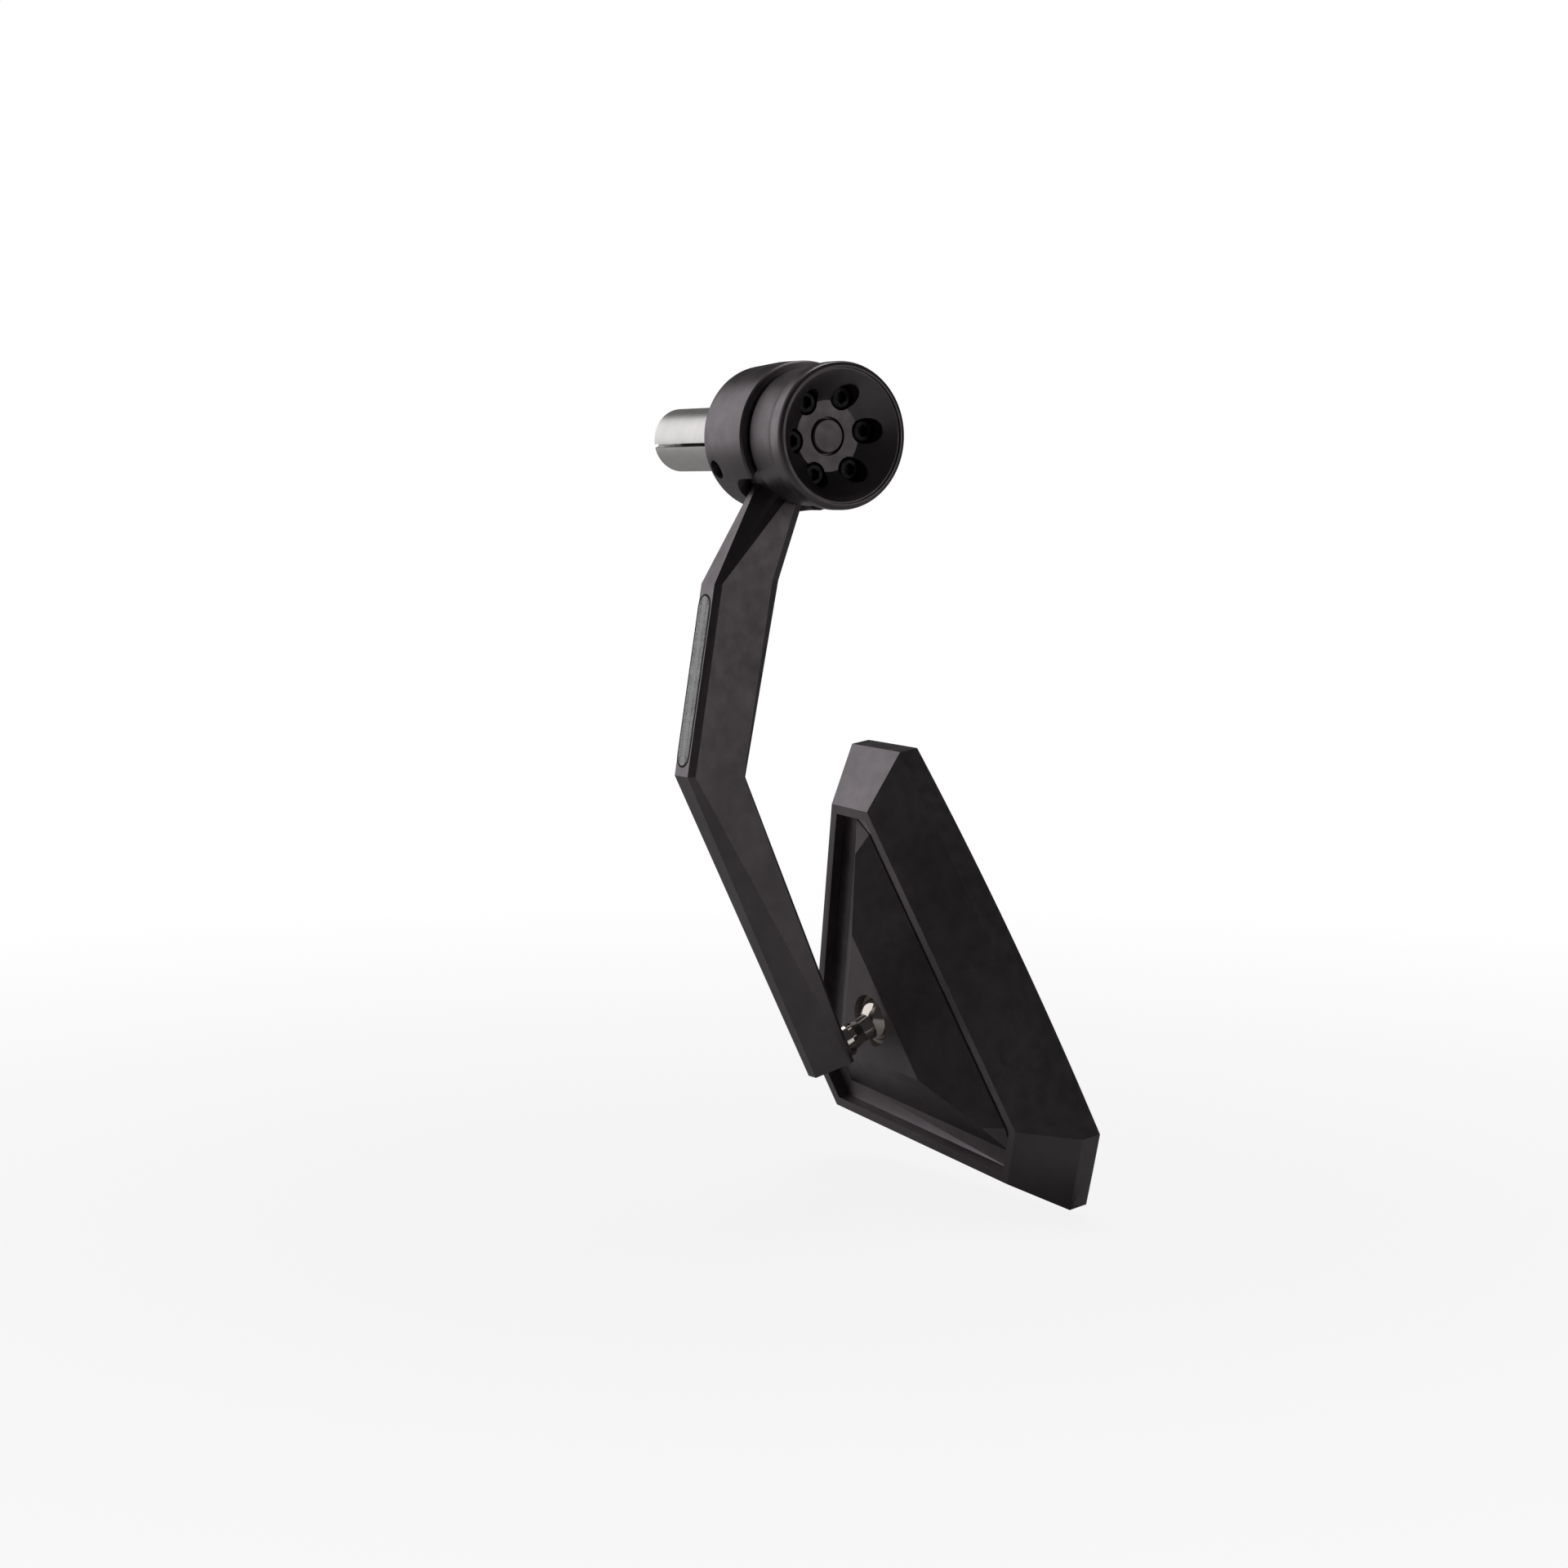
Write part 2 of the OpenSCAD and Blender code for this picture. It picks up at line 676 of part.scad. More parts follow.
// Raised panel in the back pocket: flat top, two side bevels, and a slope to the long edge
module back_panel() {
    near = meet(short_out, short_out * mouth_outline[1] - moat_w, [0, 1], panel_foot_h);
    far = meet(short_out, short_out * mouth_outline[1] - short_moat_w,
        side_out, side_out * mouth_outline[2] - moat_w);
    tip = inset(mouth_outline, moat_w)[3];
    half = [near, far, tip];
    outline = concat([mirrored(near)], half, [mirrored(tip), mirrored(far)]);
    foot = [for (p = outline) [p[0], p[1], -panel_foot]];
    base = [for (p = outline) [p[0], p[1], -pocket_floor + 1]];
    side = on_bevel(shoulder, panel_foot_h + shoulder * (panel_h - panel_foot_h));
    ridge = on_bevel(1, panel_h);
    crest = on_bevel(1, crest_h);
    top = [mirrored(side), side, mirrored(ridge), ridge, crest, mirrored(crest)];
    walls = [for (i = [0 : 5]) [i, (i + 1) % 6, (i + 1) % 6 + 6, i + 6]];
    roof = [[6, 7, 13, 15, 14, 12], [7, 8, 13], [8, 9, 16, 15, 13], [9, 10, 17, 16],
        [10, 11, 12, 14, 17], [11, 6, 12], [14, 15, 16, 17]];
    polyhedron(concat(base, foot, top), concat(walls, roof, [[5, 4, 3, 2, 1, 0]]), convexity = 2);
}

module mirror_housing() {
    color("dimgray") on_head() difference() {
        union() {
            difference() {
                intersection() {
                    loft([
                        raise(frame_outline, -frame_z),
                        raise(rim_outline, -rim_t),
                        raise(rim_outline, dome_rise)
                    ]);
                    dome(0);
                }
                translate([0, 0, -frame_z - over]) linear_extrude(pocket_depth + over) polygon(mouth_outline);
            }
            back_panel();
        }
        // Recess for the glass
        layer(recess_outline, -over, glass_drop + glass_t + pad_t);
        translate([0, socket_h, -socket_rise]) socket_cut();
    }
}

// Socket through the panel: conical mouth, throat, bore for the seat and recess for the plate
module socket_cut() {
    translate([0, 0, -cone_rim_at - 6]) cylinder(h = 6, r1 = cone_rim_r + 3.4, r2 = cone_rim_r);
    translate([0, 0, -cone_rim_at]) cylinder(h = cone_rim_at - throat_at, r1 = cone_rim_r, r2 = throat_r);
    translate([0, 0, -throat_at - 0.01]) cylinder(h = 2 * throat_at, r = throat_r);
    sphere(r = seat_in);
    translate([0, 0, -seat_top]) cylinder(h = frame_z, r = seat_r + fit);
    translate([0, 0, plate_z]) cylinder(h = frame_z, r = plate_r + gap);
    for (a = [90, 210, 330])
        rotate(a) translate([plate_screw_circle, 0, plate_z - 4])
            cylinder(h = 8, d = plate_screw_d + 2 * fit, $fn = 32);
}

// Curved sheet with the given outline, from t0 to t1 below the rim's dome
module layer(outline, t0, t1) {
    intersection() {
        translate([0, 0, -rim_t]) linear_extrude(rim_t + 2 * dome_rise) polygon(outline);
        difference() {
            dome(t0);
            dome(t1);
        }
    }
}

module adhesive_pad() {
    color("black") on_head()
        layer(inset(glass_outline, pad_border), glass_drop + glass_t, glass_drop + glass_t + pad_t);
}

module mirror_glass() {
    color("lightblue") on_head() layer(glass_outline, glass_drop, glass_drop + glass_t);
}

expander_sleeve();
expander_cone();
clamp_bolt();
bolt_washer();
clamp_collar();
grub_screws();
spacer_ring();
outer_weight();
cap_screws();
centre_plug();
support_arm();
lens_gasket();
light_lens();
light_board();
ball_stud();
ball_liner();
seat_cup();
spring_washer();
retaining_plate();
plate_screws();
mirror_housing();
adhesive_pad();
mirror_glass();
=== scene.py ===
"""Finishes of a motorcycle bar end mirror: black anodised collar, weight, arm and head,
a bright split plug, a ribbed marker light and a polished ball stud, on a plain studio floor.
"""

import math

import bpy
import numpy as np
from bpy.props import FloatProperty, FloatVectorProperty, PointerProperty
from mathutils import Matrix, Vector


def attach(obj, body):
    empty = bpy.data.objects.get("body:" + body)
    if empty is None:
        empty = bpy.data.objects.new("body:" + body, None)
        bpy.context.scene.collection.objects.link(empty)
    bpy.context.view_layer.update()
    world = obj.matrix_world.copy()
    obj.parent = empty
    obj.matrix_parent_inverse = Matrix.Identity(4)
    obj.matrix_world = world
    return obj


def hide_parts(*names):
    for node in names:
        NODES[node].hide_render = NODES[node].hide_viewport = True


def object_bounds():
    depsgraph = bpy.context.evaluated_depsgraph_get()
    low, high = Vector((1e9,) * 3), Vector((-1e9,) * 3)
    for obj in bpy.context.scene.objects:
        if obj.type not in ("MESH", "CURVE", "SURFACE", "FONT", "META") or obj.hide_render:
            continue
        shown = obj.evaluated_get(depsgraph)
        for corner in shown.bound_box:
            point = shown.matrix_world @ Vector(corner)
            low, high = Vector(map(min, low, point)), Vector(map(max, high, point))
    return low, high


bl_info = {
    "name": "Bar end mirror",
    "version": (1, 0, 0),
    "blender": (4, 5, 0),
    "location": "View3D > Sidebar > Mirror",
    "description": "Finishes and studio for a motorcycle bar end mirror",
    "category": "Object",
}

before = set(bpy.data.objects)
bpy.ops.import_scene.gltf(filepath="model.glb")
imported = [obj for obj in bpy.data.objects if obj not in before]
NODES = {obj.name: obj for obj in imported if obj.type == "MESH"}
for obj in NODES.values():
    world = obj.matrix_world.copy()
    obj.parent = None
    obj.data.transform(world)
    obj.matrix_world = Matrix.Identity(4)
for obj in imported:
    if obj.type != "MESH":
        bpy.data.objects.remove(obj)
CAD_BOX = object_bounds()
MM = 0.001

# Most values of a noise texture lie between these two
NOISE_LOW, NOISE_HIGH = 0.3, 0.7

# Edges sharper than these angles are rounded: on milled facets and on turned pieces
FACET_ANGLE = math.radians(14)
TURNED_ANGLE = math.radians(20)

# Rows along the lens and columns across it
LENS_ROWS, LENS_COLUMNS = 360, 28

# Each lamp's place from the part's middle, to the camera's right, up and back, and its width
LAMPS = {
    "key": ((-1.25, 0.45, -0.45), 1.9),
    "top": ((0.15, 1.25, -0.3), 0.8),
    "side": ((1.2, 0.1, 0.65), 0.7),
}


class MirrorFinish(bpy.types.PropertyGroup):
    """Colours and textures of the mirror's surfaces"""

    anodise: FloatVectorProperty(
        name="Black anodising", description="Colour of the blasted and anodised parts",
        default=(0.21, 0.188, 0.2), subtype="COLOR", min=0, max=1)
    anodise_roughness: FloatProperty(
        name="Anodising roughness", description="Roughness of the blasted surface",
        default=0.4, min=0.1, max=1, subtype="FACTOR")
    blast_grain: FloatProperty(
        name="Blast grain", description="Size of the pits that the bead blasting leaves",
        default=0.22 * MM, min=0.05 * MM, max=1 * MM, unit="LENGTH")
    steel: FloatVectorProperty(
        name="Bright steel", description="Colour of the turned plug",
        default=(0.86, 0.84, 0.83), subtype="COLOR", min=0, max=1)
    black_steel: FloatVectorProperty(
        name="Black steel", description="Colour of the screws",
        default=(0.022, 0.022, 0.023), subtype="COLOR", min=0, max=1)
    nickel: FloatVectorProperty(
        name="Polished nickel", description="Colour of the ball stud",
        default=(0.78, 0.72, 0.66), subtype="COLOR", min=0, max=1)
    lens: FloatVectorProperty(
        name="Light lens", description="Colour of the marker light's lens",
        default=(0.8, 0.8, 0.81), subtype="COLOR", min=0, max=1)
    rubber: FloatVectorProperty(
        name="Rubber", description="Colour of the gasket and the spacer",
        default=(0.012, 0.012, 0.013), subtype="COLOR", min=0, max=1)
    glass: FloatVectorProperty(
        name="Mirror glass", description="Tint of the reflecting glass",
        default=(0.86, 0.88, 0.9), subtype="COLOR", min=0, max=1)
    edge: FloatProperty(
        name="Edge rounding", description="Width of the rounding on machined edges",
        default=0.45 * MM, min=0, max=1 * MM, unit="LENGTH")


class MirrorLight(bpy.types.PropertyGroup):
    """Sizes of the ribbed lens in the arm"""

    rib_pitch: FloatProperty(
        name="Rib pitch", description="Distance between two ribs of the lens",
        default=0.7 * MM, min=0.3 * MM, max=2 * MM, unit="LENGTH")
    rib_height: FloatProperty(
        name="Rib height", description="Height of a rib on the lens",
        default=0.16 * MM, min=0, max=0.3 * MM, unit="LENGTH")
    clear_share: FloatProperty(
        name="Clear share", description="Share of the lens's width between the two ribbed bands",
        default=0.42, min=0.1, max=0.9, subtype="FACTOR")


class MirrorStudio(bpy.types.PropertyGroup):
    """Camera, lamps and floor"""

    azimuth: FloatProperty(
        name="Azimuth", description="Angle of the camera round the part",
        default=math.radians(59.25), unit="ROTATION")
    elevation: FloatProperty(
        name="Elevation", description="Angle of the camera above the horizon",
        default=math.radians(5.25), unit="ROTATION")
    distance: FloatProperty(
        name="Distance", description="From the camera to the plane it aims at",
        default=0.8, min=0.2, unit="LENGTH")
    aim_right: FloatProperty(
        name="Aim right", description="Camera axis to the right of the collar's back face",
        default=4.8 * MM, unit="LENGTH")
    aim_down: FloatProperty(
        name="Aim down", description="Camera axis below the collar's back face",
        default=87.3 * MM, unit="LENGTH")
    lens: FloatProperty(
        name="Focal length", description="Focal length of the camera in millimetres",
        default=72.825, min=20)
    key: FloatProperty(
        name="Key", description="Power of the lamp on the left in watts", default=8, min=0)
    top: FloatProperty(
        name="Top", description="Power of the lamp above in watts", default=4, min=0)
    side: FloatProperty(
        name="Side", description="Power of the weak lamp on the right in watts", default=0.7, min=0)
    ambient: FloatProperty(
        name="Ambient", description="Strength of the light from all sides", default=0.03, min=0)
    floor: FloatProperty(
        name="Floor", description="Width of the floor", default=6, min=1, unit="LENGTH")


class Surface:
    """A material with its shader, and short calls for the layers that the finishes share"""

    def __init__(self, name, sockets):
        self.material = bpy.data.materials.new(name)
        self.material.use_nodes = True
        self.tree = self.material.node_tree
        self.tree.nodes.clear()
        self.output = self.node("OutputMaterial")
        self.shader = self.node("BsdfPrincipled")
        self.link(self.shader.outputs["BSDF"], self.output.inputs["Surface"])
        self.place = self.node("TexCoord").outputs["Object"]
        for socket, value in sockets.items():
            self.shader.inputs[socket].default_value = value

    def link(self, source, target):
        self.tree.links.new(source, target)

    def node(self, kind, **values):
        made = self.tree.nodes.new("ShaderNode" + kind)
        for name, value in values.items():
            setattr(made, name, value)
        return made

    def noise(self, size, detail=2, roughness=0.5, place=None):
        """Noise whose grains are about size metres across"""
        made = self.node("TexNoise")
        made.inputs["Scale"].default_value = 1 / size
        made.inputs["Detail"].default_value = detail
        made.inputs["Roughness"].default_value = roughness
        self.link(place or self.place, made.inputs["Vector"])
        return made.outputs["Fac"]

    def stretched(self, scale):
        """The object's coordinates, stretched"""
        made = self.node("Mapping")
        made.inputs["Scale"].default_value = scale
        self.link(self.place, made.inputs["Vector"])
        return made.outputs["Vector"]

    def remap(self, source, low, high, to_low, to_high):
        """The source's range from low to high, laid on the range from to_low to to_high"""
        made = self.node("MapRange")
        made.inputs["From Min"].default_value = low
        made.inputs["From Max"].default_value = high
        made.inputs["To Min"].default_value = to_low
        made.inputs["To Max"].default_value = to_high
        self.link(source, made.inputs["Value"])
        return made.outputs["Result"]

    def tint(self, source, colour, share, low=NOISE_LOW, high=NOISE_HIGH):
        """Base colour that gets darker and lighter by share with the source"""
        ramp = self.node("ValToRGB")
        dark, light = ramp.color_ramp.elements
        dark.position = low
        light.position = high
        dark.color = (*[c * (1 - share) for c in colour], 1)
        light.color = (*[min(1, c * (1 + share)) for c in colour], 1)
        self.link(source, ramp.inputs["Fac"])
        self.link(ramp.outputs["Color"], self.shader.inputs["Base Color"])

    def gloss(self, source, smooth, rough):
        """Roughness that goes from smooth to rough with the source"""
        value = self.remap(source, NOISE_LOW, NOISE_HIGH, smooth, rough)
        self.link(value, self.shader.inputs["Roughness"])

    def relief(self, source, depth, strength):
        """Fine relief of the given depth"""
        made = self.node("Bump")
        made.inputs["Strength"].default_value = strength
        made.inputs["Distance"].default_value = depth
        self.link(source, made.inputs["Height"])
        self.link(made.outputs["Normal"], self.shader.inputs["Normal"])


def blasted(name, finish, coarser=1):
    """Bead-blasted, black anodised aluminium: fine pits, faint clouds in the dye and its gloss"""
    s = Surface(name, {"Metallic": 1})
    middling = finish.anodise_roughness
    s.tint(s.noise(14 * MM, detail=3), finish.anodise, share=0.1, low=0.35)
    s.gloss(s.noise(3 * MM), smooth=middling - 0.04, rough=middling + 0.05)
    s.relief(s.noise(finish.blast_grain * coarser, detail=1), depth=0.012 * MM, strength=0.6)
    return s.material


def turned_metal(name, colour, roughness):
    """Bright turned metal with fine tool lines across the direction of the bar"""
    s = Surface(name, {"Metallic": 1})
    lines = s.noise(0.12 * MM, roughness=0.6, place=s.stretched((1, 0.02, 0.02)))
    s.tint(s.noise(5 * MM, detail=3), colour, share=0.05)
    s.gloss(lines, smooth=roughness * 0.8, rough=roughness * 1.25)
    s.relief(lines, depth=0.004 * MM, strength=0.5)
    return s.material


def blackened(name, finish):
    """Black oxide on screws, slightly oily, with rubbed spots"""
    s = Surface(name, {"Metallic": 0.6})
    s.tint(s.noise(1.2 * MM, detail=4), finish.black_steel, share=0.3, low=0.35)
    s.gloss(s.noise(0.8 * MM, detail=3), smooth=0.3, rough=0.5)
    s.relief(s.noise(0.2 * MM), depth=0.006 * MM, strength=0.5)
    return s.material


def polished(name, colour):
    """Polished nickel with faint buffing marks"""
    s = Surface(name, {"Metallic": 1})
    marks = s.noise(0.1 * MM, detail=3, roughness=0.6, place=s.stretched((1, 0.3, 0.3)))
    s.tint(s.noise(3 * MM), colour, share=0.04)
    s.gloss(marks, smooth=0.07, rough=0.14)
    s.relief(marks, depth=0.001 * MM, strength=0.4)
    return s.material


def rubber(name, finish):
    """Black rubber, dull and slightly dusty"""
    s = Surface(name, {"Specular IOR Level": 0.3})
    s.tint(s.noise(0.6 * MM, detail=3), finish.rubber, share=0.25)
    s.gloss(s.noise(1 * MM), smooth=0.6, rough=0.8)
    s.relief(s.noise(0.15 * MM), depth=0.01 * MM, strength=0.5)
    return s.material


def moulded(name, colour, roughness=0.4):
    """Moulded plastic with a faint flow pattern"""
    s = Surface(name, {})
    s.tint(s.noise(4 * MM, detail=3), colour, share=0.06)
    s.gloss(s.noise(2 * MM), smooth=roughness - 0.05, rough=roughness + 0.08)
    s.relief(s.noise(0.5 * MM), depth=0.006 * MM, strength=0.4)
    return s.material


def lens_plastic(name, finish):
    """Milky clear plastic that scatters the light of the chips behind it"""
    s = Surface(name, {"IOR": 1.49, "Transmission Weight": 0.25, "Coat Weight": 0.3})
    s.tint(s.noise(1.5 * MM, detail=4), finish.lens, share=0.16)
    s.gloss(s.noise(0.5 * MM, detail=3), smooth=0.2, rough=0.4)
    s.relief(s.noise(0.3 * MM, detail=3), depth=0.015 * MM, strength=0.6)
    return s.material


def silvered(name, finish):
    """Mirror glass: a nearly perfect reflection with the faintest haze"""
    s = Surface(name, {"Metallic": 1, "Coat Weight": 0.4})
    s.tint(s.noise(40 * MM), finish.glass, share=0.01)
    s.gloss(s.noise(20 * MM), smooth=0.01, rough=0.025)
    return s.material


def solder_mask(name, colour):
    """Circuit board with a fine weave under its lacquer"""
    s = Surface(name, {"Coat Weight": 0.3})
    s.tint(s.noise(0.7 * MM, detail=4), colour, share=0.3, low=0.35, high=0.65)
    s.gloss(s.noise(0.5 * MM), smooth=0.25, rough=0.45)
    s.relief(s.noise(0.2 * MM), depth=0.01 * MM, strength=0.5)
    return s.material


def new_object(name, data):
    made = bpy.data.objects.new(name, data)
    bpy.context.scene.collection.objects.link(made)
    return made


def dress(material, *nodes):
    """Gives CAD nodes their finish"""
    for name in nodes:
        slots = NODES[name].data.materials
        slots.clear()
        slots.append(material)


def round_edges(width, angle, *nodes):
    """Rounds the sharp edges of CAD nodes with modifiers, which leave their meshes as they are"""
    for name in nodes:
        piece = NODES[name]
        weld = piece.modifiers.new("Weld", "WELD")
        weld.merge_threshold = 0.001 * MM
        bevel = piece.modifiers.new("Bevel", "BEVEL")
        bevel.width = width
        bevel.segments = 2
        bevel.limit_method = "ANGLE"
        bevel.angle_limit = angle


class MIRROR_OT_plug(bpy.types.Operator):
    """Finish the bright split plug and its clamp screw"""

    bl_idname = "mirror.plug"
    bl_label = "Handlebar plug"

    def execute(self, context):
        finish = context.scene.mirror_finish
        dull_steel = [c * 0.92 for c in finish.steel]
        sleeve_steel = turned_metal("bright_turned_steel", finish.steel, roughness=0.38)
        cone_steel = turned_metal("bright_cone_steel", dull_steel, roughness=0.3)
        dress(sleeve_steel, "expander_sleeve")
        dress(cone_steel, "expander_cone", "bolt_washer")
        dress(blackened("clamp_screw_steel", finish), "clamp_bolt")
        return {"FINISHED"}


class MIRROR_OT_collar(bpy.types.Operator):
    """Finish the clamp collar, its locking screws, the spacer and the outer weight"""

    bl_idname = "mirror.collar"
    bl_label = "Collar and weight"

    def execute(self, context):
        finish = context.scene.mirror_finish
        dress(blasted("collar_anodised", finish), "clamp_collar")
        dress(blasted("weight_anodised", finish, coarser=1.2), "outer_weight", "centre_plug")
        round_edges(finish.edge * 0.6, TURNED_ANGLE, "clamp_collar", "outer_weight")
        dress(rubber("spacer_rubber", finish), "spacer_ring")
        dress(blackened("screw_black_steel", finish), "grub_screws", "cap_screws")
        return {"FINISHED"}


class LensSeat:
    """Place and size of the plain lens: its outer face's middle, its directions and half sizes"""

    def __init__(self, node):
        points = np.array([node.matrix_world @ v.co for v in node.data.vertices])
        sideways = points[:, 1:] - points[:, 1:].mean(axis=0)
        longest = np.linalg.svd(sideways, full_matrices=False)[2][0]
        self.along = np.array([0, *longest]) * (1 if longest[0] > 0 else -1)
        self.out = np.array([0, -self.along[2], self.along[1]])
        self.out = self.out * (-1 if self.out[1] > 0 else 1)
        lengths, depths, widths = points @ self.along, points @ self.out, points[:, 0]
        self.middle = self.along * (lengths.min() + lengths.max()) / 2 + self.out * depths.max()
        self.middle[0] = (widths.min() + widths.max()) / 2
        self.half_length = (lengths.max() - lengths.min()) / 2
        self.end_radius = (widths.max() - widths.min()) / 2
        self.depth = depths.max() - depths.min()


def lens_row(seat, row):
    """Place of a row along the lens, and half its width: rows lie closer at the round ends.
    The first and last rows stop just short of the ends, where the width would be nothing.
    """
    length_share, turn_share = 0.9995, 0.999
    turn = math.pi / 2 * (2 * row / LENS_ROWS - 1) * turn_share
    along = seat.half_length * length_share * math.sin(turn)
    past = max(0, abs(along) - (seat.half_length - seat.end_radius))
    return along, math.sqrt(max(seat.end_radius * seat.end_radius - past * past, 0))


def lens_hollow(light, along, across, radius, edge_share):
    """Depth of the lens's face below its highest points: flat in the clear strip, prisms beside it,
    and a small fall at both sides
    """
    strip_share, lip, lip_from = 0.35, 0.1 * MM, 0.93
    turns = 2 * math.pi / light.rib_pitch
    prism = 0.5 + 0.5 * math.sin(turns * (along + across)) * math.sin(turns * (along - across))
    clear = abs(across) / radius < light.clear_share
    fall = lip * max(0, edge_share - lip_from) / (1 - lip_from)
    return light.rib_height * (strip_share if clear else prism) + fall


def slab_faces(rows, columns):
    """Faces of a closed slab: a grid of points in front, the same behind, and the wall between"""
    step = columns + 1
    total = (rows + 1) * step
    faces = []
    for row in range(rows):
        for column in range(columns):
            k = row * step + column
            faces.append((k, k + 1, k + step + 1, k + step))
            faces.append((total + k, total + k + step, total + k + step + 1, total + k + 1))
    first = list(range(step))
    right = [row * step + columns for row in range(1, rows + 1)]
    last = [rows * step + column for column in range(columns - 1, -1, -1)]
    left = [row * step for row in range(rows - 1, 0, -1)]
    rim = first + right + last + left
    for here, after in zip(rim, rim[1:] + rim[:1]):
        faces.append((here, total + here, total + after, after))
    return faces


def ribbed_lens(name, node, light):
    """Lens with round ends: a clear strip along its middle and a band of small prisms on each side"""
    seat = LensSeat(node)
    front, back = [], []
    for row in range(LENS_ROWS + 1):
        along, half_width = lens_row(seat, row)
        for column in range(LENS_COLUMNS + 1):
            share = 2 * column / LENS_COLUMNS - 1
            across = half_width * share
            low = lens_hollow(light, along, across, seat.end_radius, abs(share))
            at = seat.middle + seat.along * along + np.array([across, 0, 0])
            front.append(tuple(at - seat.out * low))
            back.append(tuple(at - seat.out * seat.depth))
    mesh = bpy.data.meshes.new(name)
    mesh.from_pydata(front + back, [], slab_faces(LENS_ROWS, LENS_COLUMNS))
    mesh.update()
    return new_object(name, mesh)


class MIRROR_OT_arm(bpy.types.Operator):
    """Finish the support arm and what sits in its light pocket"""

    bl_idname = "mirror.arm"
    bl_label = "Support arm"

    def execute(self, context):
        finish = context.scene.mirror_finish
        dress(blasted("arm_anodised", finish), "support_arm")
        round_edges(finish.edge, FACET_ANGLE, "support_arm")
        dress(rubber("gasket_rubber", finish), "lens_gasket")
        dress(solder_mask("board_green", (0.02, 0.11, 0.05)), "light_board")
        node = NODES["light_lens"]
        lens = ribbed_lens("ribbed_lens", node, context.scene.mirror_light)
        lens.data.materials.append(lens_plastic("lens_clear", finish))
        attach(lens, "arm_assembly")
        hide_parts(node.name)
        return {"FINISHED"}


class MIRROR_OT_joint(bpy.types.Operator):
    """Finish the ball stud and the seat inside the head"""

    bl_idname = "mirror.joint"
    bl_label = "Ball joint"

    def execute(self, context):
        finish = context.scene.mirror_finish
        cream, brass, grey = (0.62, 0.58, 0.5), (0.6, 0.42, 0.2), (0.5, 0.5, 0.5)
        dress(polished("stud_nickel", finish.nickel), "ball_stud")
        dress(moulded("liner_plastic", cream), "ball_liner")
        seat_brass = turned_metal("seat_brass", brass, roughness=0.3)
        spring_steel = turned_metal("spring_steel", grey, roughness=0.3)
        dress(seat_brass, "seat_cup")
        dress(spring_steel, "spring_washer", "retaining_plate")
        dress(blackened("plate_screw_steel", finish), "plate_screws")
        return {"FINISHED"}


class MIRROR_OT_head(bpy.types.Operator):
    """Finish the faceted housing, the adhesive pad and the glass"""

    bl_idname = "mirror.head"
    bl_label = "Mirror head"

    def execute(self, context):
        finish = context.scene.mirror_finish
        foam = (0.02, 0.02, 0.02)
        dress(blasted("housing_anodised", finish), "mirror_housing")
        round_edges(finish.edge * 1.3, FACET_ANGLE, "mirror_housing")
        dress(moulded("pad_foam", foam, roughness=0.8), "adhesive_pad")
        dress(silvered("glass_silvered", finish), "mirror_glass")
        return {"FINISHED"}


def camera_axes(studio):
    """Directions to the camera's right, up and back"""
    a, e = studio.azimuth, studio.elevation
    right = Vector((math.cos(a), math.sin(a), 0))
    back = Vector((math.sin(a) * math.cos(e), -math.cos(a) * math.cos(e), math.sin(e)))
    return right, back.cross(right), back


def studio_camera(studio):
    """Camera at the photograph's viewing angle"""
    right, up, back = camera_axes(studio)
    data = bpy.data.cameras.new("camera")
    data.lens = studio.lens
    data.sensor_width = 36
    data.clip_start = 0.01
    data.clip_end = 50
    made = new_object("camera", data)
    place = right * studio.aim_right - up * studio.aim_down + back * studio.distance
    turn = Matrix((right, up, back)).transposed().to_4x4()
    made.matrix_world = Matrix.Translation(place) @ turn
    return made


def area_lamp(name, place, aim, width, power):
    """Round soft lamp at a place, turned to the aim"""
    data = bpy.data.lights.new(name, "AREA")
    data.shape = "DISK"
    data.size = width
    data.energy = power
    made = new_object(name, data)
    made.location = place
    made.rotation_mode = "QUATERNION"
    made.rotation_quaternion = (aim - place).to_track_quat("-Z", "Y")


def studio_lamps(studio):
    """Soft lamps round the part, whose powers are settings of the studio"""
    right, up, back = camera_axes(studio)
    middle = (CAD_BOX[0] + CAD_BOX[1]) / 2
    for name, ((to_right, to_up, to_back), width) in LAMPS.items():
        place = middle + right * to_right + up * to_up + back * to_back
        area_lamp(name + "_lamp", place, middle, width, getattr(studio, name))


def floor_paper(name):
    """Pale paper that keeps a soft shadow near the part and fades to white further out"""
    light_bounced, colour_seen = 0.6, 0.82
    fade_from, fade_to, glow_share = 0.12, 0.6, 0.84
    s = Surface(name, {"Roughness": 0.9, "Specular IOR Level": 0.1})
    seen = s.node("LightPath").outputs["Is Camera Ray"]
    s.link(s.remap(seen, 0, 1, light_bounced, colour_seen), s.shader.inputs["Base Color"])
    glow = s.node("Emission")
    glow.inputs["Strength"].default_value = 1
    far = s.node("VectorMath", operation="LENGTH")
    s.link(s.place, far.inputs[0])
    share = s.node("Math", operation="MULTIPLY")
    s.link(seen, share.inputs[0])
    s.link(s.remap(far.outputs["Value"], fade_from, fade_to, glow_share, 1), share.inputs[1])
    both = s.node("MixShader")
    s.link(share.outputs[0], both.inputs["Fac"])
    s.link(s.shader.outputs["BSDF"], both.inputs[1])
    s.link(glow.outputs["Emission"], both.inputs[2])
    s.link(both.outputs["Shader"], s.output.inputs["Surface"])
    return s.material


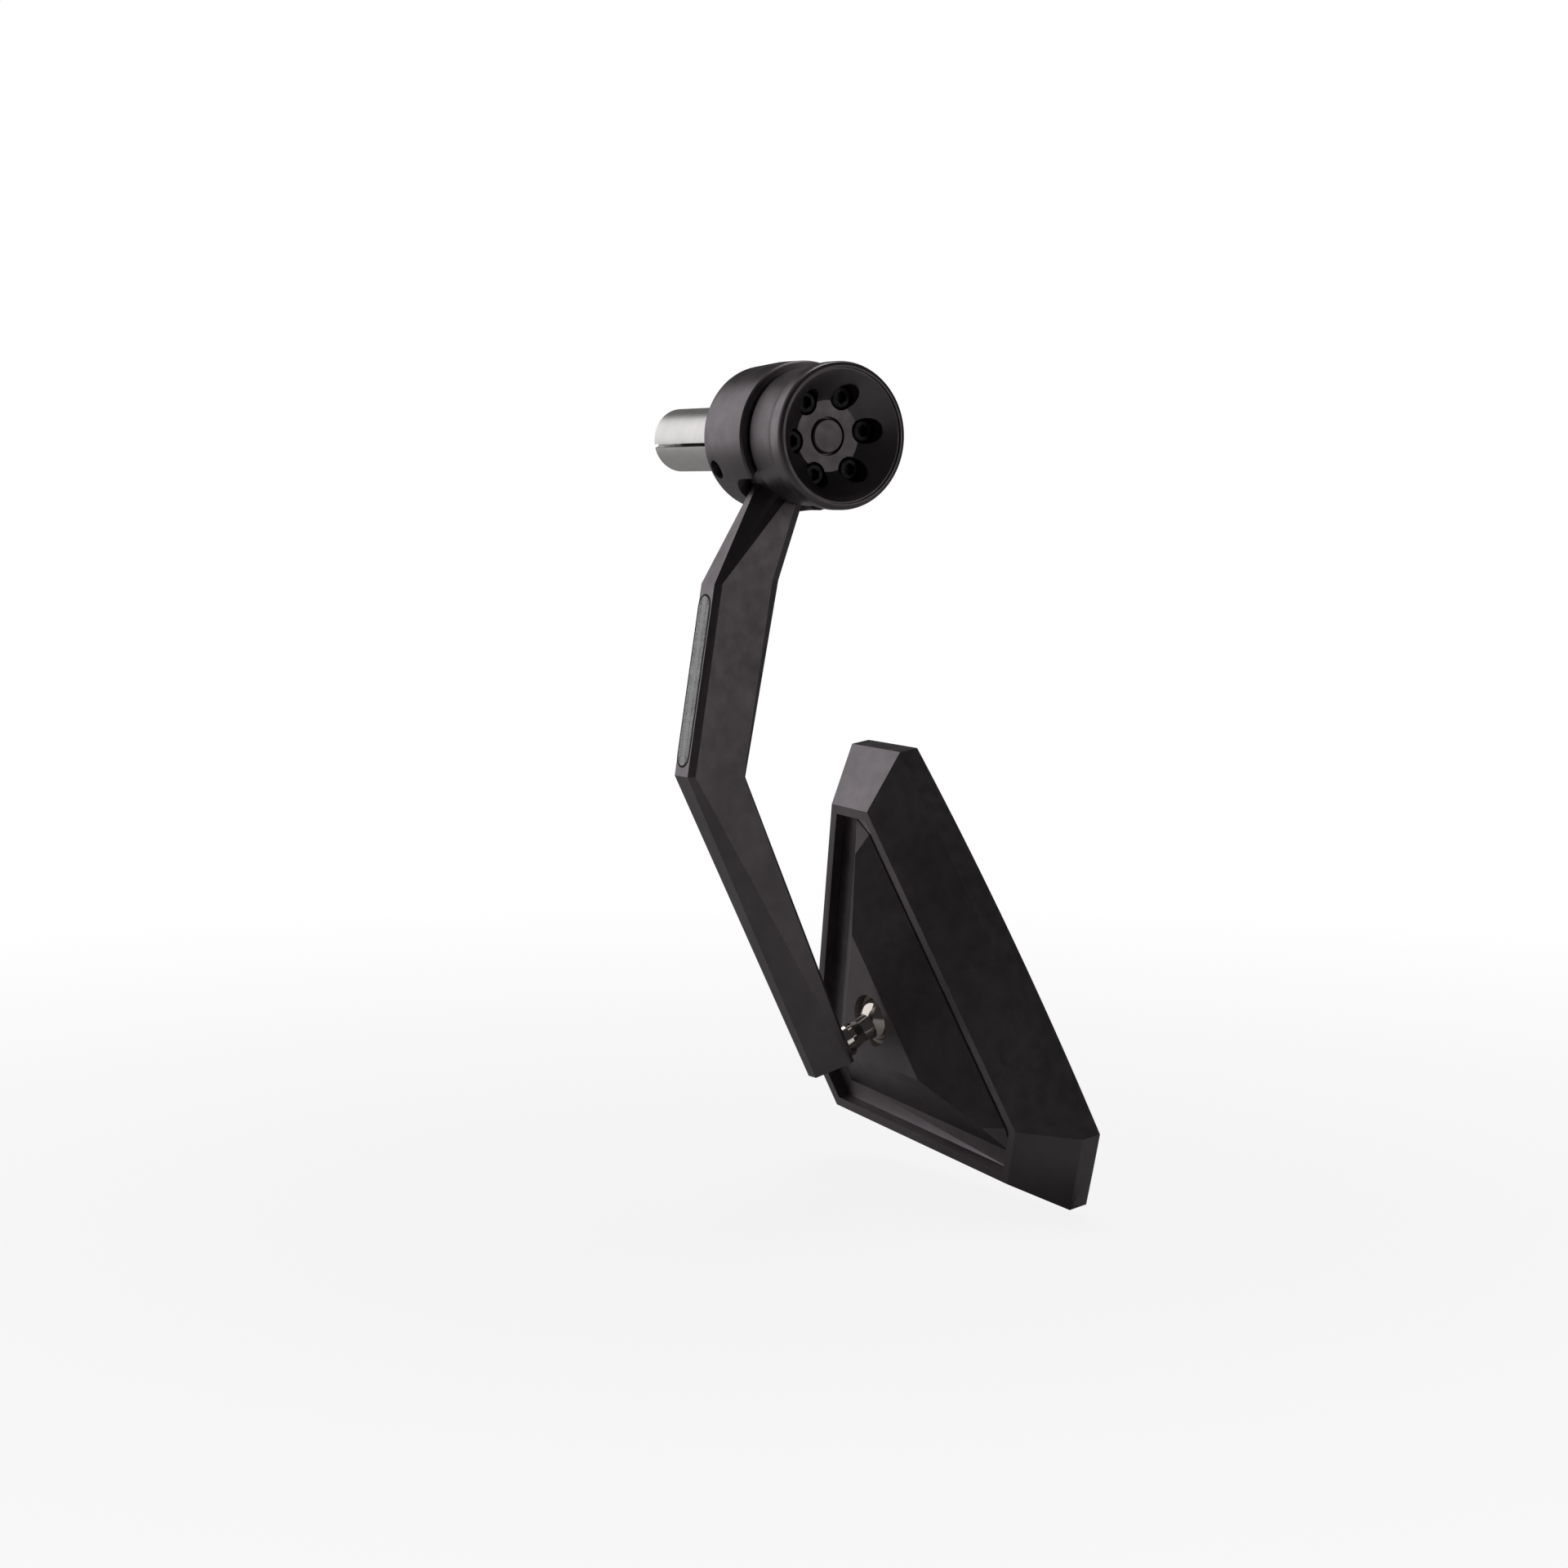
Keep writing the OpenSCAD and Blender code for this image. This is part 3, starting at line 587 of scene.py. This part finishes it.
def studio_floor(studio):
    """Flat floor just below the part"""
    half = studio.floor / 2
    low = CAD_BOX[0].z - 2 * MM
    corners = [(-half, -half, low), (half, -half, low), (half, half, low), (-half, half, low)]
    mesh = bpy.data.meshes.new("floor")
    mesh.from_pydata(corners, [], [(0, 1, 2, 3)])
    mesh.materials.append(floor_paper("floor_paper"))
    return new_object("floor", mesh)


def studio_world(studio):
    """White surround for the camera, and a faint light from all sides for the part"""
    world = bpy.data.worlds.new("studio_world")
    world.use_nodes = True
    tree = world.node_tree
    tree.nodes.clear()
    seen = tree.nodes.new("ShaderNodeBackground")
    light = tree.nodes.new("ShaderNodeBackground")
    for background, strength in ((seen, 1), (light, studio.ambient)):
        background.inputs["Color"].default_value = (1, 1, 1, 1)
        background.inputs["Strength"].default_value = strength
    path = tree.nodes.new("ShaderNodeLightPath")
    mix = tree.nodes.new("ShaderNodeMixShader")
    output = tree.nodes.new("ShaderNodeOutputWorld")
    tree.links.new(path.outputs["Is Camera Ray"], mix.inputs["Fac"])
    tree.links.new(light.outputs["Background"], mix.inputs[1])
    tree.links.new(seen.outputs["Background"], mix.inputs[2])
    tree.links.new(mix.outputs["Shader"], output.inputs["Surface"])
    return world


class MIRROR_OT_studio(bpy.types.Operator):
    """Build the camera, the soft lamps, the pale floor and the white surround"""

    bl_idname = "mirror.studio"
    bl_label = "Studio"

    def execute(self, context):
        scene = context.scene
        studio = scene.mirror_studio
        scene.camera = studio_camera(studio)
        studio_lamps(studio)
        studio_floor(studio)
        scene.world = studio_world(studio)
        scene.view_settings.view_transform = "Standard"
        return {"FINISHED"}


class MIRROR_PT_panel(bpy.types.Panel):
    """Lists the mirror's pieces and settings"""

    bl_idname = "MIRROR_PT_panel"
    bl_label = "Bar end mirror"
    bl_space_type = "VIEW_3D"
    bl_region_type = "UI"
    bl_category = "Mirror"

    def draw(self, context):
        layout = self.layout
        for operator in OPERATORS:
            layout.operator(operator.bl_idname)
        for name, group in GROUPS.items():
            box = layout.box()
            for prop in group.__annotations__:
                box.prop(getattr(context.scene, name), prop)


GROUPS = {"mirror_finish": MirrorFinish, "mirror_light": MirrorLight, "mirror_studio": MirrorStudio}
OPERATORS = (
    MIRROR_OT_plug, MIRROR_OT_collar, MIRROR_OT_arm, MIRROR_OT_joint, MIRROR_OT_head, MIRROR_OT_studio,
)


def register():
    for group in GROUPS.values():
        bpy.utils.register_class(group)
    for made in (*OPERATORS, MIRROR_PT_panel):
        bpy.utils.register_class(made)
    for name, group in GROUPS.items():
        setattr(bpy.types.Scene, name, PointerProperty(type=group))


def unregister():
    for name in GROUPS:
        delattr(bpy.types.Scene, name)
    for made in (MIRROR_PT_panel, *reversed(OPERATORS), *GROUPS.values()):
        bpy.utils.unregister_class(made)


def main():
    register()
    bpy.ops.mirror.plug()
    bpy.ops.mirror.collar()
    bpy.ops.mirror.arm()
    bpy.ops.mirror.joint()
    bpy.ops.mirror.head()
    bpy.ops.mirror.studio()
    bpy.context.view_layer.update()


if __name__ == "__main__":
    main()
